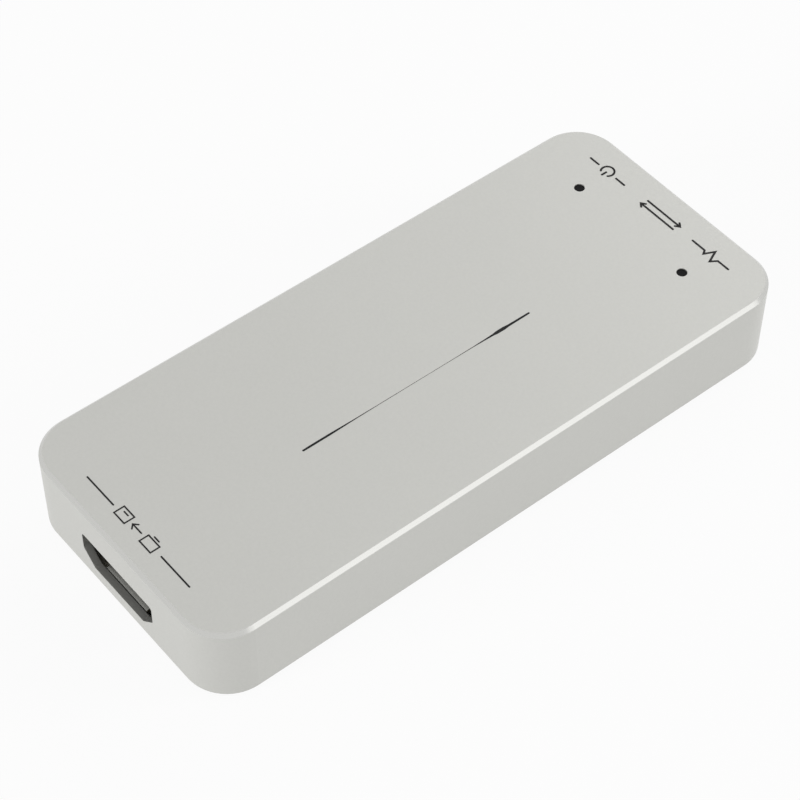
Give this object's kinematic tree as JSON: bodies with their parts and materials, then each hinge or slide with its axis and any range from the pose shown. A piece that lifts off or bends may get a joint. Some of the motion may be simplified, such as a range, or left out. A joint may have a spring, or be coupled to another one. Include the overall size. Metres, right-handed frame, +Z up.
{
  "type": "video capture box",
  "caption": "Slim rounded metal box that takes in video at one end and sends it on as data from the other, with small lamp holes on top",
  "frame": {"origin": "on the surface that the box stands on, under the middle of its outline", "axes": "+X from the video input end to the data end, +Y to the left of that, +Z up"},
  "size_m": [0.098, 0.0426, 0.0136],
  "materials": {
    "case_metal": "fine satin anodised, bright chamfered top edge",
    "cover_metal": "satin anodised plate",
    "screw_steel": "dark zinc plated",
    "foot_rubber": "matt black",
    "insulating_film": "matt black film",
    "circuit_board": "green solder mask",
    "socket_shell": "nickel plated sheet",
    "video_insulator": "black moulding",
    "data_insulator": "blue moulding",
    "contact_metal": "gold flashed",
    "lead_metal": "tin plated",
    "chip_plastic": "black moulding",
    "can_metal": "plain drawn can",
    "ceramic": "tan ceramic",
    "thermal_pad": "soft grey silicone",
    "heat_block_metal": "milled",
    "light_pipe": "smoked clear plastic, dark when unlit",
    "lamp": "clear resin over a white base"
  },
  "bodies": {
    "root": {"housing": "case_metal", "bottom_cover": "cover_metal", "cover_screws": "screw_steel", "foot_video_right": "foot_rubber", "foot_video_left": "foot_rubber", "foot_data_right": "foot_rubber", "foot_data_left": "foot_rubber", "insulating_sheet": "insulating_film", "main_board": "circuit_board", "video_socket_shell": "socket_shell", "video_socket_tongue": "video_insulator", "video_socket_contacts": "contact_metal", "data_socket_shell": "socket_shell", "data_socket_tongue": "data_insulator", "data_socket_contacts": "contact_metal", "video_receiver_chip": "chip_plastic", "receiver_leads": "lead_metal", "capture_processor": "chip_plastic", "data_bridge_chip": "chip_plastic", "memory_chip_left": "chip_plastic", "memory_chip_right": "chip_plastic", "firmware_chip": "chip_plastic", "clock_crystal_data": "can_metal", "clock_crystal_video": "can_metal", "surge_array_1": "chip_plastic", "surge_array_2": "chip_plastic", "surge_array_3": "chip_plastic", "surge_array_4": "chip_plastic", "power_coil_1": "chip_plastic", "power_coil_2": "chip_plastic", "power_coil_3": "chip_plastic", "regulator_chip_1": "chip_plastic", "regulator_chip_2": "chip_plastic", "regulator_chip_3": "chip_plastic", "filter_capacitor_base_left": "chip_plastic", "filter_capacitor_base_right": "chip_plastic", "filter_capacitor_can_left": "can_metal", "filter_capacitor_can_right": "can_metal", "chip_capacitors": "ceramic", "chip_resistors": "chip_plastic", "power_lamp": "lamp", "status_lamp": "lamp", "power_light_pipe": "light_pipe", "status_light_pipe": "light_pipe", "lower_thermal_pad": "thermal_pad", "heat_block": "heat_block_metal", "upper_thermal_pad": "thermal_pad"}
  },
  "joints": []
}
